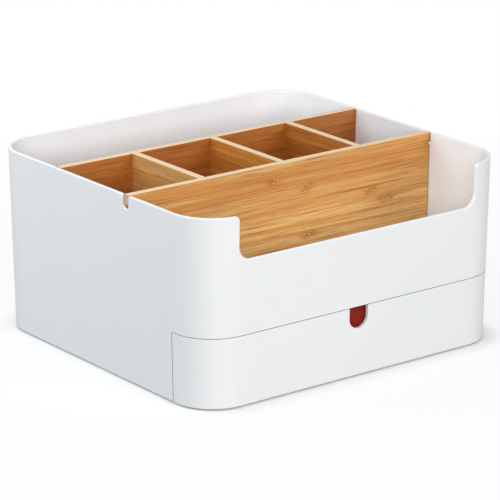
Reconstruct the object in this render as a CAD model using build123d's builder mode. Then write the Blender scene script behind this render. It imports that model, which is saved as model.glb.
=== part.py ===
from build123d import *
import os
from math import radians, tan

# Desk organizer with a drawer: a white moulded shell with an open top and a cut-down front, a bamboo
# insert that divides the top, and a drawer below whose front wraps round both front corners.
# Millimetres. The origin lies on the desk under the middle of the shell. +X runs to the right along
# the front, +Y to the back and +Z up.

# Shell, measured at its rim
width = 260.0
depth = 244.0
height = 130.0
corner_radius = 32.0
draft_angle = 1.1
wall = 2.5
rim_rounding = 0.7
base_rounding = 0.5
floor_thickness = 2.5
floor_fillet = 3.0
foot_drop = 1.0

# Front cut-out between the two corner posts
post_width = 30.5
cutout_depth = 30.0
cutout_fillet = 9.5
post_rounding = 3.2

# Drawer bay and the seam round the drawer front
bay_height = 49.4
seam_gap = 0.4
return_reach = 35.0
seam_corner = 1.0
seam_rounding = 0.3

# Base plate, its screw pillars and its feet
base_recess = 0.6
base_thickness = 2.4
base_gap = 0.4
pillar_radius = 4.0
pillar_front_room = 20.6
pillar_rear_room = 10.0
foot_radius = 7.0
foot_recess = 0.8
foot_gap = 0.2
foot_chamfer = 0.4
foot_inset_x = 32.0
foot_inset_y = 34.0

# Screws with countersunk heads below and pan heads inside the drawer
screw_radius = 1.5
screw_gap = 0.05
screw_tip = 1.2
pilot_spare = 1.0
base_screw_length = 12.0
sunk_head_radius = 3.0
sunk_head_angle = 90.0
front_screw_length = 11.0
pan_head_radius = 3.0
pan_head_height = 2.0
pan_head_rounding = 0.7
recess_width = 0.8
recess_span = 3.2
recess_depth = 0.9

# Runners under and beside the drawer tray
runner_thickness = 1.6
runner_pad_width = 12.0
runner_end_room = 27.0
guide_thickness = 1.5
guide_height = 6.0
running_gap = 0.3
peg_radius = 2.0
peg_gap = 0.05
peg_end_room = 15.0

# Drawer tray and its stops
tray_wall = 2.0
tray_corner = 14.0
tray_base_fillet = 1.6
tray_rim_rounding = 0.6
finger_pocket = 11.0
tray_side_room = 11.5
tray_rear_room = 6.0
tray_headroom = 7.0
drawer_travel = 150.0
stop_gap = 0.3
tab_width = 14.0
tab_spacing = 140.0
tab_headroom = 1.0
rib_width = 20.0
rib_thickness = 2.5
rib_clearance = 1.2

# Drawer front: its screw bosses and the finger notch
boss_radius = 4.0
boss_count = 4
boss_end_room = 12.5
boss_height = 24.0
notch_width = 15.6
notch_depth = 15.0
notch_rounding = 0.8

# Bamboo insert
board = 5.6
board_rounding = 0.5
board_gap = 0.3
board_corner = 4.5
front_row_depth = 77.7
cell_depth = 75.4
cell_width = 60.4
housing_depth = 2.4
housing_gap = 0.1
ear_height = 6.8
ear_inset = 0.9
slot_gap = 0.3
slot_depth = 9.5
slot_lead_in = 1.8
slot_round_share = 0.48

# How far a cut runs past the faces that it opens, and how near to a place counts as there
overrun = 5.0
nearness = 0.01

os.makedirs("parts", exist_ok=True)


def lean(level):
    """How far the drafted outer faces lie inside the rim's outline at a height."""
    return (height - level) * tan(radians(draft_angle))


def half_width(level, inset=0):
    """Half the shell's width at a height, moved inward by inset."""
    return width / 2 - lean(level) - inset


def half_depth(level, inset=0):
    """Half the shell's depth at a height, moved inward by inset."""
    return depth / 2 - lean(level) - inset


def rounded_outline(level, inset):
    """The shell's rounded outline at a height, moved inward by inset, in the open sketch."""
    radius = corner_radius - lean(level) - inset
    RectangleRounded(2 * half_width(level, inset), 2 * half_depth(level, inset), radius)


def drafted_block(bottom, top, inset):
    """A block between two heights whose sides follow the shell's drafted faces, moved inward."""
    with BuildPart() as block:
        with BuildSketch(Plane.XY.offset(top)):
            rounded_outline(top, inset)
        extrude(amount=bottom - top)
        draft(block.faces().filter_by(Axis.Z, reverse=True), Plane.XY.offset(top), -draft_angle)
    return block.part


def lying_at(shapes, axis, first, last=None):
    """The shapes whose middles lie at one position along an axis, or between two."""
    end = first if last is None else last
    return shapes.filter_by_position(axis, first - nearness, end + nearness)


def rounded_notch(across, mouth, reach, bottom_radius, mouth_radius):
    """A notch that is cut down from a mouth, with rounded bottom corners and a rounded lead-in."""
    with Locations((across[0], mouth)):
        Rectangle(across[1], reach, align=(Align.CENTER, Align.MAX))
        Rectangle(across[1] + mouth_radius * 4, overrun, align=(Align.CENTER, Align.MIN))
    fillet(vertices().group_by(Axis.Y)[0], bottom_radius)
    at_mouth = lying_at(vertices(), Axis.Y, mouth)
    fillet(at_mouth.sort_by(Axis.X)[1:-1], mouth_radius)


def square_faces(piece):
    """The faces of a moulding that cross its wall: the flat ones along the axes, and their corners."""
    faces = piece.faces().filter_by(GeomType.CYLINDER)
    for axis in (Axis.X, Axis.Y, Axis.Z):
        faces = faces + piece.faces().filter_by(axis)
    return faces


def outline_edges(faces):
    """The edges that belong to just one of these faces."""
    edges = [edge for face in faces for edge in face.edges()]
    return [edge for edge in edges if sum(edge.is_same(other) for other in edges) == 1]


def screw(profile, head_face, head_rounding=0):
    """A screw turned from a profile of radii and heights, with a cross recess in its head."""
    with BuildPart() as fastener:
        with BuildSketch(Plane.XZ):
            Polygon(*profile, align=None)
        revolve(axis=Axis.Z)
        if head_rounding:
            fillet(lying_at(fastener.edges(), Axis.Z, head_face), head_rounding)
        with BuildSketch(Plane.XY.offset(head_face)):
            Rectangle(recess_span, recess_width)
            Rectangle(recess_width, recess_span)
        extrude(amount=recess_depth, mode=Mode.SUBTRACT)
    return fastener.part


# Heights above the desk
shell_base = foot_drop
base_under = shell_base + base_recess
base_top = base_under + base_thickness
runner_top = base_top + runner_thickness
tray_under = runner_top + running_gap
tray_floor = tray_under + tray_wall
tray_rim = bay_height - tray_headroom
tab_top = bay_height - tab_headroom
rib_base = tray_rim + rib_clearance
front_top = bay_height - seam_gap
floor_top = bay_height + floor_thickness
cutout_base = height - cutout_depth

# Places along Y, from the front to the back
front_return_end = -depth / 2 + return_reach
mouth_end = front_return_end + seam_gap
tray_front = -half_depth(shell_base, wall) + finger_pocket
tray_rear = half_depth(shell_base, wall) - tray_rear_room
tray_middle = (tray_rear + tray_front) / 2
tray_length = tray_rear - tray_front
pillar_front = mouth_end + pillar_front_room
pillar_rear = depth / 2 - corner_radius - pillar_rear_room
pillar_middle = (pillar_front + pillar_rear) / 2
pillar_pitch = (pillar_rear - pillar_front) / 2
runner_length = depth - 2 * runner_end_room
peg_pitch = runner_length / 2 - peg_end_room
stop_face = tray_rear - tray_wall - drawer_travel - stop_gap
front_board_face = -half_depth(height, wall) + front_row_depth
front_board_back = front_board_face + board
rear_board_face = front_board_back + cell_depth

# Places along X
tray_half_width = half_width(shell_base, wall) - tray_side_room
guide_face = tray_half_width + running_gap
pillar_x = half_width(shell_base, wall) - pillar_radius
boss_reach = tray_half_width - tray_corner - boss_end_room
boss_pitch = 2 * boss_reach / (boss_count - 1)
pillar_web_end = (half_width(bay_height, wall) + half_width(base_top)) / 2
foot_x = half_width(base_under, wall) - foot_inset_x
foot_y = half_depth(base_under, wall) - foot_inset_y
peg_x = tray_half_width - runner_pad_width / 2
cross_pitch = cell_width + board
cross_places = {"left": -cross_pitch, "middle": 0, "right": cross_pitch}

# Sizes and places that several pieces share
screw_hole_radius = screw_radius + screw_gap
slot_width = board + 2 * slot_gap
pillar_places = [
    (side * pillar_x, y) for side in (-1, 1) for y in (pillar_front, pillar_middle, pillar_rear)
]
boss_places = [(step * boss_pitch - boss_reach, boss_height) for step in range(boss_count)]
foot_places = {
    "front_left": (-foot_x, -foot_y),
    "front_right": (foot_x, -foot_y),
    "rear_left": (-foot_x, foot_y),
    "rear_right": (foot_x, foot_y),
}

shell_block = drafted_block(shell_base, height, 0)
cavity_block = drafted_block(floor_top, height + overrun, wall)
bay_block = drafted_block(shell_base - overrun, bay_height, wall)
front_block = drafted_block(shell_base, front_top, 0)
front_hollow = drafted_block(shell_base - overrun, front_top + overrun, wall)

# Body shell: one moulding with the compartments above its floor and the drawer bay below
with BuildPart() as body_shell:
    add(shell_block)
    fillet(lying_at(body_shell.edges(), Axis.Z, shell_base), base_rounding)
    add(cavity_block, mode=Mode.SUBTRACT)
    add(bay_block, mode=Mode.SUBTRACT)
    # The front wall is cut down between the posts
    with BuildSketch(Plane.XZ):
        rounded_notch((0, width - 2 * post_width), height, cutout_depth, cutout_fillet, post_rounding)
    extrude(amount=depth, mode=Mode.SUBTRACT)
    # Slots in both side walls take the front divider's ears
    with BuildSketch(Plane.YZ):
        slot = (front_board_face + board / 2, slot_width)
        rounded_notch(slot, height, slot_depth, slot_round_share * slot_width, slot_lead_in)
    extrude(amount=width, both=True, mode=Mode.SUBTRACT)
    rim_faces = lying_at(square_faces(body_shell), Axis.Z, cutout_base, height)
    fillet(outline_edges(rim_faces), rim_rounding)
    fillet(lying_at(body_shell.edges(), Axis.Z, floor_top), floor_fillet)
    # The front corners below the floor make way for the drawer front
    with BuildSketch(Plane.YZ):
        with Locations((mouth_end, bay_height)):
            Rectangle(depth, height, align=(Align.MAX, Align.MAX))
        fillet(vertices().group_by(Axis.Y)[-1].sort_by(Axis.X)[-1], seam_corner + seam_gap)
    extrude(amount=width, both=True, mode=Mode.SUBTRACT)
    # Pillars hang from the floor along the side walls and take the base plate's screws
    with BuildSketch(Plane.XY.offset(base_top)):
        with Locations(*pillar_places):
            Circle(pillar_radius)
        for side in (-1, 1):
            with Locations((side * (pillar_x + pillar_web_end) / 2, pillar_middle)):
                with GridLocations(0, pillar_pitch, 1, 3):
                    Rectangle(pillar_web_end - pillar_x, 2 * pillar_radius)
    extrude(amount=bay_height + floor_thickness / 2 - base_top)
    with BuildSketch(Plane.XY.offset(base_top)):
        with Locations(*pillar_places):
            Circle(screw_hole_radius)
    extrude(amount=base_under + base_screw_length + pilot_spare - base_top, mode=Mode.SUBTRACT)
    # Ribs under the floor stop the drawer's tabs
    with BuildSketch(Plane.XY.offset(rib_base)):
        with Locations((-tab_spacing / 2, stop_face), (tab_spacing / 2, stop_face)):
            Rectangle(rib_width, rib_thickness, align=(Align.CENTER, Align.MAX))
    extrude(amount=bay_height + floor_thickness / 2 - rib_base)

body_shell.part.label = "body_shell"
export_step(body_shell.part, "parts/body_shell.step")

# Base plate: closes the drawer bay, and carries the runners and the feet
with BuildPart() as base_plate:
    with BuildSketch(Plane.XY.offset(base_under)):
        rounded_outline(base_under, wall + base_gap)
    extrude(amount=base_thickness)
    with Locations(*[Location((x, y, base_under), (180, 0, 0)) for x, y in pillar_places]):
        CounterSinkHole(screw_hole_radius, sunk_head_radius + screw_gap, base_thickness, sunk_head_angle)
    with BuildSketch(Plane.XY.offset(base_under)):
        for side in (-1, 1):
            with Locations((side * peg_x, 0)):
                with GridLocations(0, peg_pitch, 1, 3):
                    Circle(peg_radius + peg_gap)
    extrude(amount=base_thickness, mode=Mode.SUBTRACT)
    with BuildSketch(Plane.XY.offset(base_under)):
        with Locations(*foot_places.values()):
            Circle(foot_radius + foot_gap)
    extrude(amount=foot_recess, mode=Mode.SUBTRACT)

base_plate.part.label = "base_plate"
export_step(base_plate.part, "parts/base_plate.step")

# Base screws: countersunk, up through the base plate into the shell's pillars
sunk_head_height = (sunk_head_radius - screw_radius) / tan(radians(sunk_head_angle / 2))
sunk_profile = [
    (0, 0),
    (sunk_head_radius, 0),
    (screw_radius, sunk_head_height),
    (screw_radius, base_screw_length - screw_tip),
    (0, base_screw_length),
]
base_screw = screw(sunk_profile, 0)
with BuildPart() as base_screws:
    with Locations(*[(x, y, base_under) for x, y in pillar_places]):
        add(base_screw)

base_screws.part.label = "base_screws"
export_step(base_screws.part, "parts/base_screws.step")

# Feet: soft pads that sit in recesses of the base plate
for corner, (x, y) in foot_places.items():
    with BuildPart() as foot:
        with BuildSketch(Plane.XY):
            with Locations((x, y)):
                Circle(foot_radius)
        extrude(amount=base_under + foot_recess)
        chamfer(lying_at(foot.edges(), Axis.Z, 0), foot_chamfer)
    foot.part.label = f"foot_{corner}"
    export_step(foot.part, f"parts/foot_{corner}.step")

# Runners: strips pegged to the base plate that the tray slides on and between
runner_profile = [
    (tray_half_width - runner_pad_width, base_top),
    (guide_face + guide_thickness, base_top),
    (guide_face + guide_thickness, runner_top + guide_height),
    (guide_face, runner_top + guide_height),
    (guide_face, runner_top),
    (tray_half_width - runner_pad_width, runner_top),
]
for name, side in (("left_runner", -1), ("right_runner", 1)):
    with BuildPart() as runner:
        with BuildSketch(Plane.XZ):
            Polygon(*[(side * x, z) for x, z in runner_profile], align=None)
        extrude(amount=runner_length / 2, both=True)
        with BuildSketch(Plane.XY.offset(base_under)):
            with Locations((side * peg_x, 0)):
                with GridLocations(0, peg_pitch, 1, 3):
                    Circle(peg_radius)
        extrude(amount=base_thickness + runner_thickness / 2)
    runner.part.label = name
    export_step(runner.part, f"parts/{name}.step")

# Drawer tray: a moulded box behind the drawer front, with two stop tabs on its rear wall
with BuildPart() as drawer_tray:
    with BuildSketch(Plane.XY.offset(tray_under)):
        with Locations((0, tray_middle)):
            RectangleRounded(2 * tray_half_width, tray_length, tray_corner)
    extrude(amount=tray_rim - tray_under)
    fillet(lying_at(drawer_tray.edges(), Axis.Z, tray_under), tray_base_fillet)
    with BuildSketch(Plane.XY.offset(tray_floor)):
        with Locations((0, tray_middle)):
            inner_width = 2 * (tray_half_width - tray_wall)
            RectangleRounded(inner_width, tray_length - 2 * tray_wall, tray_corner - tray_wall)
    extrude(amount=tray_rim - tray_floor, mode=Mode.SUBTRACT)
    fillet(lying_at(drawer_tray.edges(), Axis.Z, tray_floor), tray_base_fillet)
    fillet(lying_at(drawer_tray.edges(), Axis.Z, tray_rim), tray_rim_rounding)
    with BuildSketch(Plane.XY.offset(tray_rim - tray_wall)):
        with Locations((-tab_spacing / 2, tray_rear), (tab_spacing / 2, tray_rear)):
            Rectangle(tab_width, tray_wall, align=(Align.CENTER, Align.MAX))
    extrude(amount=tab_top - tray_rim + tray_wall)
    with BuildSketch(Plane.XZ.offset(-tray_front)):
        with Locations(*boss_places):
            Circle(screw_hole_radius)
    extrude(amount=-tray_wall, mode=Mode.SUBTRACT)

drawer_tray.part.label = "drawer_tray"
export_step(drawer_tray.part, "parts/drawer_tray.step")

# Drawer front: wraps both front corners flush with the shell, with a finger notch in its top edge
with BuildPart() as drawer_front:
    add(front_block)
    fillet(lying_at(drawer_front.edges(), Axis.Z, shell_base), base_rounding)
    add(front_hollow, mode=Mode.SUBTRACT)
    with BuildSketch(Plane.XY.offset(front_top)):
        with Locations((0, front_return_end)):
            Rectangle(width, depth, align=(Align.CENTER, Align.MIN))
    extrude(amount=-front_top, mode=Mode.SUBTRACT)
    upper_ends = lying_at(drawer_front.edges(), Axis.Z, front_top).filter_by(Axis.X)
    fillet(lying_at(upper_ends, Axis.Y, front_return_end), seam_corner)
    with BuildSketch(Plane.XZ):
        with Locations((0, front_top)):
            Rectangle(notch_width, notch_depth - notch_width / 2, align=(Align.CENTER, Align.MAX))
            Rectangle(2 * notch_width, overrun, align=(Align.CENTER, Align.MIN))
        at_mouth = lying_at(vertices(), Axis.Y, front_top)
        fillet(at_mouth.sort_by(Axis.X)[1:-1], notch_rounding)
        with Locations((0, front_top - notch_depth + notch_width / 2)):
            Circle(notch_width / 2)
    extrude(amount=depth, mode=Mode.SUBTRACT)
    base_edge = shell_base + base_rounding
    edge_faces = lying_at(square_faces(drawer_front), Axis.Z, base_edge, front_top)
    seam_edges = [edge for edge in outline_edges(edge_faces) if edge.center().Z > base_edge]
    fillet(seam_edges, seam_rounding)
    # Bosses reach back to the tray and take the screws from inside it
    with BuildSketch(Plane.XZ.offset(-tray_front)):
        with Locations(*boss_places):
            Circle(boss_radius)
    extrude(amount=half_depth(boss_height, wall / 2) + tray_front)
    with BuildSketch(Plane.XZ.offset(-tray_front)):
        with Locations(*boss_places):
            Circle(screw_hole_radius)
    extrude(amount=front_screw_length - tray_wall + pilot_spare, mode=Mode.SUBTRACT)

drawer_front.part.label = "drawer_front"
export_step(drawer_front.part, "parts/drawer_front.step")

# Drawer front screws: pan heads inside the tray, shanks through its front wall into the bosses
pan_profile = [
    (0, -pan_head_height),
    (pan_head_radius, -pan_head_height),
    (pan_head_radius, 0),
    (screw_radius, 0),
    (screw_radius, front_screw_length - screw_tip),
    (0, front_screw_length),
]
front_screw = screw(pan_profile, -pan_head_height, pan_head_rounding)
with BuildPart() as drawer_front_screws:
    with Locations(*[Location((x, tray_front + tray_wall, z), (90, 0, 0)) for x, z in boss_places]):
        add(front_screw)

drawer_front_screws.part.label = "drawer_front_screws"
export_step(drawer_front_screws.part, "parts/drawer_front_screws.step")


def long_board(face, ear_reach=0):
    """A board across the shell with its front face at a place along Y, shaped to the drafted walls."""
    lower_half = half_width(floor_top, wall + board_gap)
    upper_half = half_width(height, wall + board_gap)
    with BuildPart() as plank:
        with BuildSketch(Plane.XZ.offset(-face)):
            Polygon(
                (-lower_half, floor_top),
                (lower_half, floor_top),
                (upper_half, height),
                (-upper_half, height),
                align=None,
            )
            fillet(vertices().group_by(Axis.Y)[0], board_corner)
            if ear_reach:
                with Locations((0, height)):
                    Rectangle(2 * ear_reach, ear_height, align=(Align.CENTER, Align.MAX))
        extrude(amount=-board)
        fillet(lying_at(plank.edges(), Axis.Z, height).filter_by(Axis.X), board_rounding)
    return plank.part


def housings(back):
    """The grooves that take the cross dividers, reaching forward from a place along Y."""
    with BuildSketch(Plane.XY.offset(floor_top)) as grooves:
        with Locations(*[(x, back) for x in cross_places.values()]):
            Rectangle(board + 2 * housing_gap, housing_depth, align=(Align.CENTER, Align.MAX))
    extrude(grooves.sketch, amount=height, mode=Mode.SUBTRACT)


front_board = long_board(front_board_face, half_width(height - ear_height, ear_inset))
rear_board = long_board(rear_board_face)

# Front divider: hangs by an ear in each side wall's slot, with housings in its back
with BuildPart() as front_divider:
    add(front_board)
    housings(front_board_back)

front_divider.part.label = "front_divider"
export_step(front_divider.part, "parts/front_divider.step")

# Rear divider: the same board without ears, with housings in its face
with BuildPart() as rear_divider:
    add(rear_board)
    housings(rear_board_face + housing_depth)

rear_divider.part.label = "rear_divider"
export_step(rear_divider.part, "parts/rear_divider.step")

# Cross dividers: short boards let into both long ones
for name, x in cross_places.items():
    with BuildPart() as cross_divider:
        with BuildSketch(Plane.XY.offset(floor_top)):
            with Locations((x, front_board_back - housing_depth)):
                Rectangle(board, cell_depth + 2 * housing_depth, align=(Align.CENTER, Align.MIN))
        extrude(amount=height - floor_top)
        fillet(lying_at(cross_divider.edges(), Axis.Z, height).filter_by(Axis.Y), board_rounding)
    cross_divider.part.label = f"cross_divider_{name}"
    export_step(cross_divider.part, f"parts/cross_divider_{name}.step")
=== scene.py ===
# %% [markdown]
# # A desk organizer with a drawer
# The organizer is a white moulded box with an open top. A bamboo insert divides the top into rows and
# cells, and a shallow drawer below has a finger notch that shows its red tray. The solids arrive
# finished and in place, so this lesson is about their surfaces: plastics, bamboo and metal that look
# right close up, a few turned pieces that need finer modelling, and a studio that shows them plainly.

# %% Load the frame
from math import cos, pi, radians, sin

import bpy
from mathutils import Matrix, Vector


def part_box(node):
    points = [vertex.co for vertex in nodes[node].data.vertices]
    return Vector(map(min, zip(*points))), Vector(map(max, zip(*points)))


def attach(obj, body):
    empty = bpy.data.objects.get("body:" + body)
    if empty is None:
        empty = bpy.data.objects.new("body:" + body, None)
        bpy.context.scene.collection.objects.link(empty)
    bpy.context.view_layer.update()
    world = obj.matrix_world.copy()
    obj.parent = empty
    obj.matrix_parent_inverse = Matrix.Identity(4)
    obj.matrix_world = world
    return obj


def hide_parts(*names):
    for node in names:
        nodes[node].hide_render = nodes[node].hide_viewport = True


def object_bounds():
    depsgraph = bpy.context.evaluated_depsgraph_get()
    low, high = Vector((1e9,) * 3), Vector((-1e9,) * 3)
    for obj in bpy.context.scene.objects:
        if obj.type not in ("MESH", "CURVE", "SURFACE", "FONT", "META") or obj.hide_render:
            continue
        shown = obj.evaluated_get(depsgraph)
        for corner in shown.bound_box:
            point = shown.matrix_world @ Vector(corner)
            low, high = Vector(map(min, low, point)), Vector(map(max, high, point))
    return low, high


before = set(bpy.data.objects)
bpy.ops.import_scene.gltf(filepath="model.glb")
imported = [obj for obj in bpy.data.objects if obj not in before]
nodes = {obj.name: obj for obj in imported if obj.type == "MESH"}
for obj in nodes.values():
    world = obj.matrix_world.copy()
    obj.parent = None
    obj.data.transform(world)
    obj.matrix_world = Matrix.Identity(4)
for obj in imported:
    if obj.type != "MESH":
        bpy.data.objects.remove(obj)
solid_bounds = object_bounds()
bpy.ops.object.select_all(action="DESELECT")
print("size in mm:", [round(1000 * (high - low), 1) for low, high in zip(*solid_bounds)])

# %% [markdown]
# ## Small tools
# Colours are written as hex values, the way a paint chart gives them, and Blender works in linear
# light, so one function turns the first into the second. A material is a tree of nodes, and writing
# each node out in full hides the idea behind the typing, so a second function adds one node with its
# settings, its socket values and its links. Two more start a material and put it on solids.

# %% Colours and nodes
MM = 0.001


def linear(hex_code):
    """An sRGB hex colour as linear RGBA."""
    channels = [int(hex_code[start:start + 2], 16) / 255 for start in (1, 3, 5)]
    bright = [c / 12.92 if c <= 0.04045 else ((c + 0.055) / 1.055) ** 2.4 for c in channels]
    return (*bright, 1.0)


def add_node(tree, kind, inputs=None, **settings):
    """Adds a node. The inputs are values or output sockets, keyed by the socket's name or number."""
    made = tree.nodes.new(kind)
    for name, value in settings.items():
        setattr(made, name, value)
    for socket, value in (inputs or {}).items():
        if isinstance(value, bpy.types.NodeSocket):
            tree.links.new(value, made.inputs[socket])
        else:
            made.inputs[socket].default_value = value
    return made


print("middle grey in linear light:", [round(channel, 3) for channel in linear("#808080")])


# %% Materials on solids
def new_material(name, **sockets):
    """A material with its tree and its surface shader, whose constant sockets are set here."""
    material = bpy.data.materials.new(name)
    material.use_nodes = True
    tree = material.node_tree
    surface = tree.nodes["Principled BSDF"]
    for socket, value in sockets.items():
        surface.inputs[socket.replace("_", " ")].default_value = value
    return material, tree, surface


def dress(material, *names):
    """Gives CAD nodes a material in place of the one that they came with."""
    for name in names:
        nodes[name].data.materials.clear()
        nodes[name].data.materials.append(material)
    print(material.name, "on", ", ".join(names))


# The sockets of a colour Mix node, which shares its node with other kinds of value
FACTOR, FIRST, SECOND, MIXED = 0, 6, 7, 2
print("solids to dress:", ", ".join(sorted(nodes)))

# %% [markdown]
# ## Moulded plastics
# The shell, the drawer and the base are injection moulded. A mould for such goods is spark eroded to a
# fine matt, which hides scuffs and gives the plastic a soft sheen instead of a mirror. Three things
# carry that look: a pebble far finer than a millimetre, a sheen that varies a little where the melt
# flowed, and a colour that is never quite even. A texture photograph would repeat, so noise at three
# real sizes makes all of it.
#
# Two moulded pieces never quite touch. The gap round the drawer's front is a few tenths of a millimetre,
# less than the picture can show, but the eye still finds it as a grey line, because little light comes
# out of it. That shade is painted into the white plastic's colour: an Ambient Occlusion node measures
# how closed in a point is, and deepens the tint there.

# %% Seams
SEAM_REACH = 1.5 * MM
SEAM_SHUT = 0.3
SEAM_OPEN = 0.95
SEAM_TONE = 0.2


def painted_seam_shade(tree, colour):
    """Painted shade on the colour, where another face is so near that little light comes out."""
    shelter = add_node(tree, "ShaderNodeAmbientOcclusion", {"Distance": SEAM_REACH})
    open_share = add_node(
        tree,
        "ShaderNodeMapRange",
        {
            "Value": shelter.outputs["AO"],
            "From Min": SEAM_SHUT,
            "From Max": SEAM_OPEN,
            "To Min": SEAM_TONE,
        },
    )
    shaded = add_node(
        tree, "ShaderNodeVectorMath", {0: colour, "Scale": open_share.outputs[0]}, operation="SCALE"
    )
    return shaded.outputs[0]


print("seams deepen within", round(SEAM_REACH / MM, 1), "mm of another face")

# %% Moulded plastic
FLOW_MARK = 60 * MM
SHEEN_PATCH = 4 * MM
PEBBLE_STRENGTH = 0.5


def moulded_plastic(name, pale, deep, sheen, pebble, pebble_depth, ior, seams=False):
    """A moulded plastic: two close tints, a range of roughness, a pebble in metres, and painted seam
    shade.
    """
    material, tree, surface = new_material(name, IOR=ior)
    place = add_node(tree, "ShaderNodeTexCoord").outputs["Object"]
    # Flow marks are about as wide as a hand, and only tint the plastic
    flow = add_node(tree, "ShaderNodeTexNoise", {"Vector": place, "Scale": 1 / FLOW_MARK})
    tint = add_node(
        tree,
        "ShaderNodeMix",
        {FACTOR: flow.outputs[0], FIRST: linear(pale), SECOND: linear(deep)},
        data_type="RGBA",
    )
    colour = tint.outputs[MIXED]
    # Painted shade: the colour is darkened where two faces nearly meet
    if seams:
        colour = painted_seam_shade(tree, colour)
    patches = add_node(tree, "ShaderNodeTexNoise", {"Vector": place, "Scale": 1 / SHEEN_PATCH})
    rough = add_node(
        tree,
        "ShaderNodeMapRange",
        {"Value": patches.outputs[0], "To Min": sheen[0], "To Max": sheen[1]},
    )
    # A mould's own pebble is finer than a tenth of a millimetre, and is drawn coarser to be seen
    pebbles = add_node(tree, "ShaderNodeTexNoise", {"Vector": place, "Scale": 1 / pebble})
    bump = add_node(
        tree,
        "ShaderNodeBump",
        {"Height": pebbles.outputs[0], "Strength": PEBBLE_STRENGTH, "Distance": pebble_depth},
    )
    tree.links.new(colour, surface.inputs["Base Color"])
    tree.links.new(rough.outputs[0], surface.inputs["Roughness"])
    tree.links.new(bump.outputs[0], surface.inputs["Normal"])
    return material


print("flow marks", round(FLOW_MARK / MM), "mm, patches of sheen", round(SHEEN_PATCH / MM), "mm")

# %% White plastics
ABS_IOR = 1.53
# White ABS from a finely eroded mould: a cool, bright white with a soft sheen
# Its seams are darkened with painted shade
white = moulded_plastic(
    "moulded_white",
    pale="#F4F5F7",
    deep="#F0F2F4",
    sheen=(0.42, 0.54),
    pebble=0.7 * MM,
    pebble_depth=0.012 * MM,
    ior=ABS_IOR,
    seams=True,
)
dress(white, "body_shell", "drawer_front")
# The same plastic from the rougher mould of a piece that faces the desk: greyer and duller
rough_white = moulded_plastic(
    "moulded_base",
    pale="#E6E7E8",
    deep="#DEDFE1",
    sheen=(0.5, 0.64),
    pebble=1 * MM,
    pebble_depth=0.03 * MM,
    ior=ABS_IOR,
)
dress(rough_white, "base_plate")

# %% Red tray, runners and feet
ACETAL_IOR = 1.48
RUBBER_IOR = 1.5
# Red ABS, dyed in the mass, so it is as deep inside as at its surface
red = moulded_plastic(
    "moulded_red",
    pale="#D4463B",
    deep="#C83E34",
    sheen=(0.36, 0.48),
    pebble=0.7 * MM,
    pebble_depth=0.012 * MM,
    ior=ABS_IOR,
)
dress(red, "drawer_tray")
# Acetal, left undyed: milky, smooth and a little waxy, because the drawer slides on it
acetal = moulded_plastic(
    "acetal_runner",
    pale="#E9E6DC",
    deep="#E1DED2",
    sheen=(0.26, 0.36),
    pebble=1.4 * MM,
    pebble_depth=0.006 * MM,
    ior=ACETAL_IOR,
)
dress(acetal, "left_runner", "right_runner")
# Soft thermoplastic rubber: dark and dull, so that it reads as grip rather than as a hard button
rubber = moulded_plastic(
    "soft_rubber",
    pale="#55575A",
    deep="#4A4C4F",
    sheen=(0.68, 0.82),
    pebble=0.9 * MM,
    pebble_depth=0.03 * MM,
    ior=RUBBER_IOR,
)
dress(rubber, *[name for name in nodes if name.startswith("foot_")])

# %% [markdown]
# ## Bamboo
# Bamboo isn't sawn from a log. The hollow stem is split into slats, planed, and glued edge to edge, so
# a board shows strips about a centimetre tall with a fine dark glue line between them. Within a strip
# the fibres run straight along the board, and every strip carries the stem's joints, which show as
# small speckled knuckles. A wood texture with rings would be wrong here. Instead each strip gets its
# own number, and that number shifts its tint and its fibres, as if each came from another stem.
#
# Inside these functions lengths are in millimetres, because a grain is easier to judge that way.

# %% Bamboo: where a point lies on its board
STRIPS = 8
low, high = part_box("front_divider")
BOARD_FLOOR = low.z / MM
BOARD_HEIGHT = (high.z - low.z) / MM
STRIP = BOARD_HEIGHT / STRIPS
print("strips:", STRIPS, "of", round(STRIP, 1), "mm")


def board_place(tree, turn):
    """The point and the surface direction along, across and up a board whose grain is turned about Z."""
    coordinates = add_node(tree, "ShaderNodeTexCoord").outputs
    point = add_node(
        tree,
        "ShaderNodeMapping",
        {
            "Vector": coordinates["Object"],
            "Location": (0, 0, -BOARD_FLOOR),
            "Rotation": (0, 0, turn),
            "Scale": (1 / MM, 1 / MM, 1 / MM),
        },
    )
    facing = add_node(
        tree,
        "ShaderNodeMapping",
        {"Vector": coordinates["Normal"], "Rotation": (0, 0, turn)},
        vector_type="VECTOR",
    )
    return point.outputs[0], facing.outputs[0]


# %% Bamboo: strips and grain
STEM_LENGTH = 900.0


def stem_strips(tree, point, seed):
    """The point on its strip's own stretch of stem, the strip's chance, and how near its edge is."""
    along, across, up = add_node(tree, "ShaderNodeSeparateXYZ", {0: point}).outputs
    count = add_node(tree, "ShaderNodeMath", {0: up, 1: STRIP}, operation="DIVIDE").outputs[0]
    strip = add_node(tree, "ShaderNodeMath", {0: count}, operation="FLOOR").outputs[0]
    number = add_node(tree, "ShaderNodeMath", {0: strip, 1: seed}, operation="ADD").outputs[0]
    white_noise = add_node(tree, "ShaderNodeTexWhiteNoise", {"W": number}, noise_dimensions="1D")
    chance = white_noise.outputs["Value"]
    start = add_node(
        tree, "ShaderNodeMath", {0: chance, 1: STEM_LENGTH, 2: along}, operation="MULTIPLY_ADD"
    )
    stem = add_node(tree, "ShaderNodeCombineXYZ", {0: start.outputs[0], 1: across, 2: up}).outputs[0]
    part = add_node(tree, "ShaderNodeMath", {0: count}, operation="FRACT").outputs[0]
    # Ping-pong folds the strip at its middle, so that it is zero at both edges
    edge = add_node(tree, "ShaderNodeMath", {0: part, 1: 0.5}, operation="PINGPONG").outputs[0]
    return stem, chance, edge


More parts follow.
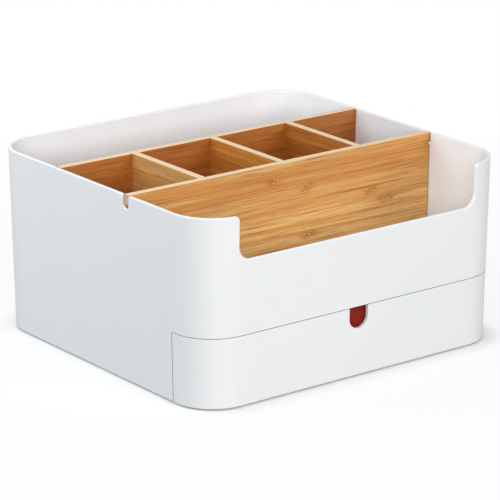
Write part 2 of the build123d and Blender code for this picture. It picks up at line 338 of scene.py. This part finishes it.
def grain(tree, stem, length, width, detail):
    """Noise drawn out along the stem, with streaks of about this length and width."""
    drawn = add_node(
        tree, "ShaderNodeMapping", {"Vector": stem, "Scale": (1 / length, 1 / width, 1 / width)}
    )
    noise = add_node(
        tree, "ShaderNodeTexNoise", {"Vector": drawn.outputs[0], "Scale": 1.0, "Detail": detail}
    )
    return noise.outputs[0]


print("each strip starts somewhere along", STEM_LENGTH, "mm of stem")

# %% [markdown]
# ### Knuckles
# A stem's joints are rings, and a slat cut from it carries a slice of each ring: an oval patch of short,
# crossed fibres. They could be left to noise, but noise scatters them anywhere and of any size. So each
# knuckle is placed one by one, as the distance from a point on the board's face, and only its outline is
# frayed by noise.

# %% Bamboo: knuckles
KNUCKLE_LENGTH = 14.0
KNUCKLE_HEIGHT = 6.0
KNUCKLE_FRAY = 0.9
KNUCKLE_RIM = 1.35
KNUCKLE_HEART = 0.75


def knuckle_mask(tree, point, fray, knuckles):
    """One at each knuckle, given by its place along and up the board, and zero away from them."""
    spread = None
    shape = (1 / KNUCKLE_LENGTH, 0, 1 / KNUCKLE_HEIGHT)
    for along, up in knuckles:
        offset = add_node(
            tree, "ShaderNodeVectorMath", {0: point, 1: (along, 0, up)}, operation="SUBTRACT"
        )
        shrunk = add_node(
            tree, "ShaderNodeVectorMath", {0: offset.outputs[0], 1: shape}, operation="MULTIPLY"
        )
        reach = add_node(tree, "ShaderNodeVectorMath", {0: shrunk.outputs[0]}, operation="LENGTH")
        # Noise frays the knuckle's outline, so that none is a plain oval
        frayed = add_node(
            tree,
            "ShaderNodeMath",
            {0: fray, 1: KNUCKLE_FRAY, 2: reach.outputs["Value"]},
            operation="MULTIPLY_ADD",
        )
        spot = add_node(
            tree,
            "ShaderNodeMapRange",
            {"Value": frayed.outputs[0], "From Min": KNUCKLE_RIM, "From Max": KNUCKLE_HEART},
            interpolation_type="SMOOTHSTEP",
        ).outputs[0]
        if spread is None:
            spread = spot
        else:
            joined = add_node(tree, "ShaderNodeMath", {0: spread, 1: spot}, operation="MAXIMUM")
            spread = joined.outputs[0]
    return spread


print("knuckles reach about", KNUCKLE_LENGTH, "mm along the grain and", KNUCKLE_HEIGHT, "mm across it")

# %% [markdown]
# ### Layers of colour
# A bamboo face is many things at once: the strip's own tint, dense and pale bands, streaks, single
# fibres, glue, knuckles and the sanding of the edges. One big formula for all of them is hard to tune.
# Here each is a layer with a mask, a range of that mask and a colour, laid over the ones before it like
# glazes of paint, so that any of them can be changed or left out alone.

# %% Bamboo: sizes and tints
BAMBOO_IOR = 1.5
PRESSED_SHARE = 0.25
FIBRE_DEPTH = 0.05 * MM
FIBRE_STRENGTH = 0.4
SANDED_ROUGHNESS = (0.44, 0.62)
# Each grain: the length and width of its streaks in millimetres, and how much fine detail it has
DENSE_BANDS = (150.0, 3.6, 2.0)
PALE_BANDS = (110.0, 2.4, 2.0)
FIBRE_BUNDLES = (48.0, 1.0, 3.0)
BROKEN_ENDS = (15.0, 0.42, 1.0)
SINGLE_FIBRES = (26.0, 0.6, 4.0)
PRESSED_GLUE = (45.0, 30.0, 1.0)
KNUCKLE_SPECKS = (2.6, 1.0, 2.0)
KNUCKLE_EDGE = (5.0, 2.5, 2.0)
# Tints that are the same in every batch
PITH = "#DDB9A7"
KNUCKLE_STAIN = "#B8702C"
KNUCKLE_DARK = "#9A4E14"
SANDED_EDGE = "#F9DAB0"
print("dense bands are", DENSE_BANDS[1], "mm wide, single fibres", SINGLE_FIBRES[1], "mm")


# %% Bamboo: layers
def bamboo_layers(tree, turn, seed, batch, knuckles):
    """The layers of a board's colour from the lowest up, and the fibres that also make its surface."""
    pale, deep, dark = batch
    point, facing = board_place(tree, turn)
    stem, chance, edge = stem_strips(tree, point, seed)
    ends, _, top = add_node(tree, "ShaderNodeSeparateXYZ", {0: facing}).outputs
    cut_end = add_node(tree, "ShaderNodeMath", {0: ends}, operation="ABSOLUTE").outputs[0]
    fibres = grain(tree, stem, *SINGLE_FIBRES)
    # The glue line comes and goes, because the pressed strips meet more tightly in some places
    pressed = grain(tree, stem, *PRESSED_GLUE)
    glue = add_node(
        tree, "ShaderNodeMath", {0: pressed, 1: PRESSED_SHARE, 2: edge}, operation="MULTIPLY_ADD"
    ).outputs[0]
    specks = grain(tree, stem, *KNUCKLE_SPECKS)
    knuckle = knuckle_mask(tree, point, grain(tree, stem, *KNUCKLE_EDGE), knuckles)
    dark_specks = add_node(
        tree, "ShaderNodeMath", {0: knuckle, 1: specks}, operation="MULTIPLY"
    ).outputs[0]
    pale_specks = add_node(
        tree, "ShaderNodeMath", {0: knuckle, 1: specks}, operation="SUBTRACT"
    ).outputs[0]
    # Each layer: its mask, where the mask starts and ends, how much it covers, and its colour
    layers = [
        # Strips differ in tint, because they come from different stems
        (chance, 0.0, 1.0, 0.9, deep),
        # Long bands where the stem was denser, and pale stretches between them
        (grain(tree, stem, *DENSE_BANDS), 0.46, 0.66, 0.7, deep),
        (grain(tree, stem, *PALE_BANDS), 0.52, 0.7, 0.8, pale),
        # Cut ends show pinkish pith
        (cut_end, 0.6, 0.9, 1.0, PITH),
        # Bundles of fibres show as dark streaks, and their broken ends as short dashes
        (grain(tree, stem, *FIBRE_BUNDLES), 0.54, 0.7, 0.6, dark),
        (grain(tree, stem, *BROKEN_ENDS), 0.6, 0.72, 0.5, dark),
        # Single fibres are finer than a tenth of a millimetre, and are drawn coarser to be seen
        (fibres, 0.52, 0.76, 0.45, dark),
        # Glue lines, also drawn coarser, are darkest at a strip's edge
        (glue, 0.17, 0.1, 0.75, dark),
        # A knuckle is a soft stain with dark and pale specks in it
        (knuckle, 0.0, 1.0, 0.45, KNUCKLE_STAIN),
        (dark_specks, 0.46, 0.6, 0.62, KNUCKLE_DARK),
        (pale_specks, 0.58, 0.68, 0.7, pale),
        # Sanding leaves the top edge paler than the faces
        (top, 0.5, 0.95, 0.9, SANDED_EDGE),
    ]
    return layers, fibres


# %% Bamboo: material
def bamboo(name, turn, seed, batch, knuckles):
    """Laminated bamboo in a batch's pale, deep and dark tints, with knuckles at places (along, up)."""
    material, tree, surface = new_material(name, IOR=BAMBOO_IOR)
    layers, fibres = bamboo_layers(tree, turn, seed, batch, knuckles)
    # The batch's pale tint lies under all the layers
    colour = linear(batch[0])
    for mask, start, end, most, tint in layers:
        cover = add_node(
            tree,
            "ShaderNodeMapRange",
            {"Value": mask, "From Min": start, "From Max": end, "To Max": most},
        )
        mixed = add_node(
            tree,
            "ShaderNodeMix",
            {FACTOR: cover.outputs[0], FIRST: colour, SECOND: linear(tint)},
            data_type="RGBA",
        )
        colour = mixed.outputs[MIXED]
    bump = add_node(
        tree,
        "ShaderNodeBump",
        {"Height": fibres, "Strength": FIBRE_STRENGTH, "Distance": FIBRE_DEPTH},
    )
    rough = add_node(
        tree,
        "ShaderNodeMapRange",
        {"Value": fibres, "To Min": SANDED_ROUGHNESS[0], "To Max": SANDED_ROUGHNESS[1]},
    )
    tree.links.new(colour, surface.inputs["Base Color"])
    tree.links.new(rough.outputs[0], surface.inputs["Roughness"])
    tree.links.new(bump.outputs[0], surface.inputs["Normal"])
    print(name, "has", len(layers), "layers and", len(knuckles), "knuckles")
    return material


# %% Bamboo on the boards
# Laminated bamboo, planed and sanded: satin, warm and straight-grained. Steaming darkens it, and a batch
# that was steamed longer is deeper and redder
ALONG_Y = -pi / 2
HONEY = ("#E1B36E", "#C98439", "#9C5822")
GOLD = ("#D8A868", "#C08944", "#97602B")
AMBER = ("#D08C38", "#B66C20", "#8A4510")
CARAMEL = ("#BE782E", "#A35B1B", "#7E3B10")
front_knuckles = [(-10, 66), (18, 57.5), (74, 45.5), (88, 38), (20, 24)]
dress(bamboo("bamboo_front", 0, 12312, HONEY, front_knuckles), "front_divider")
dress(bamboo("bamboo_rear", 0, 1993, CARAMEL, [(-70, 63), (34, 47), (-20, 30)]), "rear_divider")
dress(bamboo("bamboo_left", ALONG_Y, 1409, GOLD, [(4, 57), (-20, 30)]), "cross_divider_left")
dress(bamboo("bamboo_middle", ALONG_Y, 1384, AMBER, [(26, 48)]), "cross_divider_middle")
dress(bamboo("bamboo_right", ALONG_Y, 2077, CARAMEL, [(-8, 63)]), "cross_divider_right")

# %% [markdown]
# ## Zinc plate
# The screws are steel with a thin bright coat of zinc, which grows as fine crystals. A clear wash then
# leaves it a cold silver with a faint straw tinge in places. A plain grey metal would look like
# aluminium, so two noises are laid over each other: one for the crystals, one for the tinge.

# %% Zinc plate
CRYSTAL = 0.25 * MM
CRYSTAL_DEPTH = 0.01 * MM
CRYSTAL_STRENGTH = 0.3
CRYSTAL_ROUGHNESS = (0.24, 0.42)
TINGE = 2.5 * MM
COLD_SILVER = "#C6CACF"
STRAW = "#BDB9A8"


def zinc_plate():
    """Bright zinc on steel: crystals turn the gloss by a little, and the wash tinges it."""
    material, tree, surface = new_material("zinc_plate", Metallic=1.0)
    place = add_node(tree, "ShaderNodeTexCoord").outputs["Object"]
    crystals = add_node(tree, "ShaderNodeTexVoronoi", {"Vector": place, "Scale": 1 / CRYSTAL})
    wash = add_node(tree, "ShaderNodeTexNoise", {"Vector": place, "Scale": 1 / TINGE})
    tint = add_node(
        tree,
        "ShaderNodeMix",
        {FACTOR: wash.outputs[0], FIRST: linear(COLD_SILVER), SECOND: linear(STRAW)},
        data_type="RGBA",
    )
    spread = crystals.outputs["Distance"]
    gloss = add_node(
        tree,
        "ShaderNodeMapRange",
        {"Value": spread, "To Min": CRYSTAL_ROUGHNESS[0], "To Max": CRYSTAL_ROUGHNESS[1]},
    )
    bump = add_node(
        tree,
        "ShaderNodeBump",
        {"Height": spread, "Strength": CRYSTAL_STRENGTH, "Distance": CRYSTAL_DEPTH},
    )
    tree.links.new(tint.outputs[MIXED], surface.inputs["Base Color"])
    tree.links.new(gloss.outputs[0], surface.inputs["Roughness"])
    tree.links.new(bump.outputs[0], surface.inputs["Normal"])
    return material


# Zinc plated steel: cold, bright and slightly uneven, the way small fasteners are. Real crystals are
# finer than this, and are drawn coarser to be seen
zinc = zinc_plate()
print(zinc.name, "with crystals of", round(CRYSTAL / MM, 2), "mm")

# %% [markdown]
# ## Threaded screws
# Six sunk screws hold the base plate, and four pan heads inside the tray hold the drawer front. Their
# solids have plain shanks, because a thread changes nothing that is checked there. A thread could be
# a bump in the material, but bump leaves the outline smooth. Here one turn's outline is drawn flat and
# the Screw modifier winds it up. Its open ends are closed, and the head and tip are joined to it with
# Boolean unions, so that each screw is one closed skin.

# %% One turn of thread
THREAD_ROOT = 1.1 * MM
THREAD_CREST = 1.48 * MM
THREAD_PITCH = 1.1 * MM
CREST_SHARE = 0.16


def thread_outline(start):
    """One turn's open outline beside the Z axis, which stands at this height."""
    bpy.ops.object.select_all(action="DESELECT")
    middle = ((THREAD_ROOT + THREAD_CREST) / 2, 0, start + THREAD_PITCH / 2)
    bpy.ops.mesh.primitive_plane_add(size=1, location=middle, rotation=(pi / 2, 0, 0))
    thread = bpy.context.object
    thread.scale = (THREAD_CREST - THREAD_ROOT, THREAD_PITCH, 1)
    bpy.ops.object.transform_apply()
    bpy.ops.object.mode_set(mode="EDIT")
    bpy.ops.mesh.select_mode(type="EDGE")
    bpy.ops.mesh.select_all(action="DESELECT")
    bpy.ops.object.mode_set(mode="OBJECT")
    # The outer edge is drawn in to the crest, and the inner edge goes, which leaves an open outline
    for edge in thread.data.edges:
        ends = [thread.data.vertices[end].co for end in edge.vertices]
        edge.select = all(end.x < middle[0] for end in ends)
        if all(end.x > middle[0] for end in ends):
            for end in ends:
                end.z = middle[2] + (end.z - middle[2]) * CREST_SHARE
    bpy.ops.object.mode_set(mode="EDIT")
    bpy.ops.mesh.delete(type="EDGE")
    bpy.ops.object.mode_set(mode="OBJECT")
    return thread


thread_depth = THREAD_CREST - THREAD_ROOT
print("thread", round(thread_depth / MM, 2), "mm deep, pitch", round(THREAD_PITCH / MM, 1), "mm")

# %% Wound thread
THREAD_STEPS = 24
SAME_POINT = 0.001 * MM


def wound_thread(start, turns):
    """A closed thread about the Z axis, wound up from one turn's outline at this height."""
    thread = thread_outline(start)
    winding = thread.modifiers.new("winding", "SCREW")
    winding.screw_offset = THREAD_PITCH
    winding.iterations = turns
    winding.steps = THREAD_STEPS
    winding.render_steps = THREAD_STEPS
    bpy.ops.object.modifier_apply(modifier=winding.name)
    bpy.ops.object.mode_set(mode="EDIT")
    bpy.ops.mesh.select_all(action="SELECT")
    bpy.ops.mesh.remove_doubles(threshold=SAME_POINT)
    bpy.ops.mesh.fill_holes(sides=0)
    bpy.ops.mesh.normals_make_consistent(inside=False)
    bpy.ops.object.mode_set(mode="OBJECT")
    print("thread of", turns, "turns,", len(thread.data.polygons), "faces")
    return thread


# %% [markdown]
# ### Core, head and recess
# The core is a cylinder whose end face is pushed out and drawn in to a blunt point. A sunk head is a
# cylinder with one face drawn in to a neck, and a pan head is one with a bevelled rim. The cross recess
# is cut by two bars at right angles, each narrower at its deep end, as the driver's bit is.

# %% Screw core
CORE_RADIUS = 1.09 * MM
TIP_LENGTH = 1.05 * MM
TIP_SHARE = 0.06
ROUND_STEPS = 40
SAME_HEIGHT = 0.01 * MM


def pick_faces(piece, height):
    """Selects only the faces that lie flat at this height, and leaves the piece in edit mode."""
    bpy.ops.object.mode_set(mode="EDIT")
    bpy.ops.mesh.select_mode(type="FACE")
    bpy.ops.mesh.select_all(action="DESELECT")
    bpy.ops.object.mode_set(mode="OBJECT")
    for face in piece.data.polygons:
        face.select = abs(face.center.z - height) < SAME_HEIGHT
    bpy.ops.object.mode_set(mode="EDIT")


def cylinder(radius, low, high):
    """A cylinder about the Z axis between two heights."""
    bpy.ops.object.select_all(action="DESELECT")
    bpy.ops.mesh.primitive_cylinder_add(
        vertices=ROUND_STEPS, radius=radius, depth=high - low, location=(0, 0, (low + high) / 2)
    )
    bpy.ops.object.transform_apply()
    return bpy.context.object


def pointed_core(low, end):
    """The screw's core, drawn out to a blunt point at its end."""
    core = cylinder(CORE_RADIUS, low, end - TIP_LENGTH)
    pick_faces(core, end - TIP_LENGTH)
    bpy.ops.mesh.extrude_region_move(TRANSFORM_OT_translate={"value": (0, 0, TIP_LENGTH)})
    bpy.ops.transform.resize(value=(TIP_SHARE, TIP_SHARE, 1))
    bpy.ops.object.mode_set(mode="OBJECT")
    print("core to", round(end / MM, 1), "mm,", len(core.data.polygons), "faces")
    return core


# %% Screw heads
HEAD_RADIUS = 3 * MM
SUNK_HEIGHT = 1.5 * MM
NECK_RADIUS = 1.5 * MM
PAN_HEIGHT = 2 * MM
PAN_ROUNDING = 0.7 * MM
PAN_SEGMENTS = 5


def sunk_head():
    """A cone whose wide face lies at height zero."""
    head = cylinder(HEAD_RADIUS, 0, SUNK_HEIGHT)
    pick_faces(head, SUNK_HEIGHT)
    bpy.ops.transform.resize(value=(NECK_RADIUS / HEAD_RADIUS, NECK_RADIUS / HEAD_RADIUS, 1))
    bpy.ops.object.mode_set(mode="OBJECT")
    print("sunk head,", len(head.data.polygons), "faces")
    return head


def pan_head():
    """A low cylinder under height zero with a rounded rim."""
    head = cylinder(HEAD_RADIUS, -PAN_HEIGHT, 0)
    pick_faces(head, -PAN_HEIGHT)
    bpy.ops.mesh.bevel(offset=PAN_ROUNDING, segments=PAN_SEGMENTS, affect="EDGES")
    bpy.ops.object.mode_set(mode="OBJECT")
    print("pan head,", len(head.data.polygons), "faces")
    return head


# %% Cross recess
RECESS_SPAN = 3.2 * MM
RECESS_WIDTH = 0.8 * MM
RECESS_DEPTH = 0.9 * MM
RECESS_TAPER = 0.7


def recess_bar(head_face, turn):
    """One bar of the cross recess, which narrows as it goes into the head."""
    bpy.ops.object.select_all(action="DESELECT")
    bpy.ops.mesh.primitive_cube_add(size=1, location=(0, 0, head_face), rotation=(0, 0, turn))
    bar = bpy.context.object
    bar.scale = (RECESS_SPAN, RECESS_WIDTH, 2 * RECESS_DEPTH)
    bpy.ops.object.transform_apply()
    pick_faces(bar, head_face + RECESS_DEPTH)
    bpy.ops.transform.resize(value=(RECESS_TAPER, RECESS_TAPER, 1))
    bpy.ops.object.mode_set(mode="OBJECT")
    print("recess bar", round(RECESS_DEPTH / MM, 1), "mm deep")
    return bar


# %% Whole screws
SHARP_EDGE = radians(35)


def cut_into(body, tool, operation):
    """Joins or cuts one mesh with another, and removes the second."""
    change = body.modifiers.new("joint", "BOOLEAN")
    change.operation = operation
    change.solver = "EXACT"
    change.object = tool
    bpy.context.view_layer.objects.active = body
    bpy.ops.object.modifier_apply(modifier=change.name)
    bpy.data.objects.remove(tool)


def cross_screw(head, head_face, thread_start, turns, length):
    """A screw about the Z axis whose tip is at this length."""
    screw = wound_thread(thread_start, turns)
    cut_into(screw, pointed_core(thread_start - THREAD_PITCH / 2, length), "UNION")
    cut_into(screw, head, "UNION")
    for turn in (0, pi / 2):
        cut_into(screw, recess_bar(head_face, turn), "DIFFERENCE")
    bpy.ops.object.select_all(action="DESELECT")
    screw.select_set(True)
    bpy.ops.object.shade_smooth_by_angle(angle=SHARP_EDGE)
    print("screw", round(length / MM, 1), "mm long,", len(screw.data.polygons), "faces")
    return screw


# %% Copies in place
def fasten(name, screw, places, turn, body, node):
    """Copies a screw to its places, and makes the copies one piece that stands for its solids."""
    copies = []
    for place in places:
        bpy.ops.object.select_all(action="DESELECT")
        screw.select_set(True)
        bpy.context.view_layer.objects.active = screw
        bpy.ops.object.duplicate()
        copy = bpy.context.object
        copy.location = place
        copy.rotation_euler = (turn, 0, 0)
        bpy.ops.object.transform_apply()
        copies.append(copy)
    bpy.data.objects.remove(screw)
    bpy.ops.object.select_all(action="DESELECT")
    for copy in copies:
        copy.select_set(True)
    bpy.context.view_layer.objects.active = copies[0]
    bpy.ops.object.join()
    piece = copies[0]
    piece.name = name
    piece.data.name = name
    piece.data.materials.append(zinc)
    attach(piece, body)
    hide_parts(node)
    print(name, len(places), "screws,", len(piece.data.polygons), "faces")


# %% [markdown]
# ### Screws in their places
# The solids of the plain screws say where each one sits: their box gives the outermost heads, and the
# others are spaced evenly between them. Taking the places from the box keeps the threaded screws right
# if the solids are ever made in another size.

# %% Base screws
BASE_SCREW_LENGTH = 12 * MM
BASE_THREAD = (1.2 * MM, 8)
low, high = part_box("base_screws")
rows = (low.y + HEAD_RADIUS, (low.y + high.y) / 2, high.y - HEAD_RADIUS)
base_places = [(x, y, low.z) for x in (low.x + HEAD_RADIUS, high.x - HEAD_RADIUS) for y in rows]
base_screw = cross_screw(sunk_head(), 0, *BASE_THREAD, BASE_SCREW_LENGTH)
fasten("threaded_base_screws", base_screw, base_places, 0, "body", "base_screws")

# %% Drawer front screws
FRONT_SCREW_COUNT = 4
FRONT_SCREW_LENGTH = 11 * MM
FRONT_THREAD = (0.9 * MM, 7)
low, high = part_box("drawer_front_screws")
step = (high.x - low.x - 2 * HEAD_RADIUS) / (FRONT_SCREW_COUNT - 1)
front_places = [
    (low.x + HEAD_RADIUS + count * step, high.y - PAN_HEIGHT, (low.z + high.z) / 2)
    for count in range(FRONT_SCREW_COUNT)
]
front_screw = cross_screw(pan_head(), -PAN_HEIGHT, *FRONT_THREAD, FRONT_SCREW_LENGTH)
fasten("threaded_front_screws", front_screw, front_places, pi / 2, "drawer", "drawer_front_screws")

# %% [markdown]
# ## The studio
# White goods are shown on a white sweep. The floor and the room have to look white without being lamps
# themselves, because light that comes from everywhere would take the shape out of a white object. So a
# ray from the camera, or one that a glossy surface sends on, finds plain white, while the light that
# bounces around is that of a grey room.
#
# The floor still has to hold the organizer down. Far away it is plain white, and towards the footprint
# the white fades out, so that the real shadow and the dark line under the edge show there.

# %% Rays that are seen
def seen_rays(tree):
    """One for the rays that show a surface to the eye, and zero for the rays that only light one."""
    rays = add_node(tree, "ShaderNodeLightPath").outputs
    glossy = add_node(
        tree,
        "ShaderNodeMath",
        {0: rays["Is Camera Ray"], 1: rays["Is Glossy Ray"]},
        operation="MAXIMUM",
    )
    seen = add_node(
        tree,
        "ShaderNodeMath",
        {0: glossy.outputs[0], 1: rays["Is Transmission Ray"]},
        operation="MAXIMUM",
    )
    return seen.outputs[0]


# %% Floor
FLOOR_SIZE = 12.0
PAPER_SEEN = "#F6F6F6"
PAPER_BOUNCE = "#9A9A9A"
bpy.ops.mesh.primitive_plane_add(size=FLOOR_SIZE)
floor = bpy.context.object
floor.name = "floor"
# Paper sweep: matt, white to the eye and grey to the light that bounces off it
paper, paper_tree, paper_surface = new_material("paper_sweep", Roughness=1.0, Specular_IOR_Level=0.0)
seen = seen_rays(paper_tree)
paper_colour = add_node(
    paper_tree,
    "ShaderNodeMix",
    {FACTOR: seen, FIRST: linear(PAPER_BOUNCE), SECOND: linear(PAPER_SEEN)},
    data_type="RGBA",
)
paper_tree.links.new(paper_colour.outputs[MIXED], paper_surface.inputs["Base Color"])
floor.data.materials.append(paper)
print(floor.name, FLOOR_SIZE, "m square,", paper.name)

# %% The floor's white
FOOTPRINT_CORNER = 32 * MM
UNDER_EDGE = 8 * MM
CONTACT_REACH = 12 * MM
SHADOW_REACH = 400 * MM
NEAR_GLOW = 0.85
PLAIN_WHITE = "#FFFFFF"
# How far a point of the floor lies outside the organizer's footprint, which has rounded corners
_, high = solid_bounds
straight = (high[0] - FOOTPRINT_CORNER, high[1] - FOOTPRINT_CORNER, 0)
place = add_node(paper_tree, "ShaderNodeTexCoord").outputs["Object"]
mirrored = add_node(paper_tree, "ShaderNodeVectorMath", {0: place}, operation="ABSOLUTE").outputs[0]
past = add_node(paper_tree, "ShaderNodeVectorMath", {0: mirrored, 1: straight}, operation="SUBTRACT")
outside = add_node(
    paper_tree, "ShaderNodeVectorMath", {0: past.outputs[0], 1: (0, 0, 0)}, operation="MAXIMUM"
)
reach = add_node(paper_tree, "ShaderNodeVectorMath", {0: outside.outputs[0]}, operation="LENGTH")
away = add_node(
    paper_tree, "ShaderNodeMath", {0: reach.outputs["Value"], 1: FOOTPRINT_CORNER}, operation="SUBTRACT"
).outputs[0]
# The organizer stands on low feet, so some light also reaches in under its edge
near = add_node(
    paper_tree,
    "ShaderNodeMapRange",
    {"Value": away, "From Min": -UNDER_EDGE, "From Max": CONTACT_REACH, "To Max": NEAR_GLOW},
)
far = add_node(
    paper_tree, "ShaderNodeMapRange", {"Value": away, "From Max": SHADOW_REACH, "To Max": 1 - NEAR_GLOW}
)
share = add_node(paper_tree, "ShaderNodeMath", {0: near.outputs[0], 1: far.outputs[0]}, operation="ADD")
shown = add_node(paper_tree, "ShaderNodeMath", {0: share.outputs[0], 1: seen}, operation="MULTIPLY")
glow = add_node(paper_tree, "ShaderNodeEmission", {"Color": linear(PLAIN_WHITE), "Strength": 1.0})
both = add_node(
    paper_tree,
    "ShaderNodeMixShader",
    {0: shown.outputs[0], 1: paper_surface.outputs[0], 2: glow.outputs[0]},
)
paper_tree.links.new(both.outputs[0], paper_tree.nodes["Material Output"].inputs["Surface"])
print("white fades within", round(CONTACT_REACH / MM), "and", round(SHADOW_REACH / MM), "mm of the edge")

# %% World
ROOM_BOUNCE = "#80868E"
world = bpy.data.worlds.new("studio")
bpy.context.scene.world = world
world.use_nodes = True
room = add_node(
    world.node_tree,
    "ShaderNodeMix",
    {FACTOR: seen_rays(world.node_tree), FIRST: linear(ROOM_BOUNCE), SECOND: linear(PLAIN_WHITE)},
    data_type="RGBA",
)
world.node_tree.links.new(room.outputs[MIXED], world.node_tree.nodes["Background"].inputs["Color"])
print("world", world.name, "with", len(world.node_tree.nodes), "nodes")

# %% [markdown]
# ## Lights
# A white object shows its shape only where its faces differ in brightness, so no lamp may be strong
# enough to burn a face out to plain white. Two large softboxes in front give the front faces an even,
# bright grey. A weaker one behind the left side lets that side fade towards the front corner, and a
# small cool one overhead reaches down into the compartments, which the others leave dark. Area lamps
# are used because their size softens the shadows as a real softbox does.

# %% Lights
def softbox(name, azimuth, elevation, distance, size, watts, tint):
    """A square lamp that faces the organizer. The azimuth is zero in front and grows to the right."""
    height = distance * sin(radians(elevation))
    out = distance * cos(radians(elevation))
    place = (out * sin(radians(azimuth)), -out * cos(radians(azimuth)), height)
    bpy.ops.object.light_add(type="AREA", location=place)
    lamp = bpy.context.object
    lamp.name = name
    lamp.data.shape = "SQUARE"
    lamp.data.size = size
    lamp.data.energy = watts
    lamp.data.color = linear(tint)[:3]
    lamp.rotation_euler = (radians(90 - elevation), 0, radians(azimuth))
    print(name, "at", [round(length, 2) for length in place], "m,", watts, "W")


# Degrees, metres and watts
softbox("key_left", azimuth=-37, elevation=20, distance=2.6, size=0.9, watts=32.0, tint="#FFFDF8")
softbox("key_right", azimuth=18, elevation=20, distance=2.6, size=0.9, watts=22.5, tint="#FFFDF7")
softbox("side_left", azimuth=-128, elevation=39, distance=0.88, size=0.6, watts=2.7, tint="#FFFFFF")
softbox("overhead", azimuth=-75, elevation=76, distance=0.9, size=0.3, watts=1.7, tint="#E6F2FF")

# %% [markdown]
# ## Camera
# The photograph was taken from well back with a long lens, which keeps the sides nearly parallel. The
# place, the angles and the lens below come from fitting a camera to the outlines in the photograph, so
# that the render can be laid over it. Depth of field stays off: at this distance all of it is sharp.

# %% Camera
# Metres, degrees and, for the lens and its sensor, millimetres
CAMERA_PLACE = (-1.16645, -1.52452, 0.6654)
CAMERA_YAW = -37.46
CAMERA_PITCH = -17.56
CAMERA_LENS = 210.13
SENSOR_WIDTH = 36
turn = (radians(90 + CAMERA_PITCH), 0, radians(CAMERA_YAW))
bpy.ops.object.camera_add(location=CAMERA_PLACE, rotation=turn)
camera = bpy.context.object
camera.data.lens = CAMERA_LENS
camera.data.sensor_width = SENSOR_WIDTH
bpy.context.scene.camera = camera
bpy.context.scene.view_settings.view_transform = "Standard"
print("camera", round(camera.location.length, 2), "m away, lens", CAMERA_LENS, "mm")
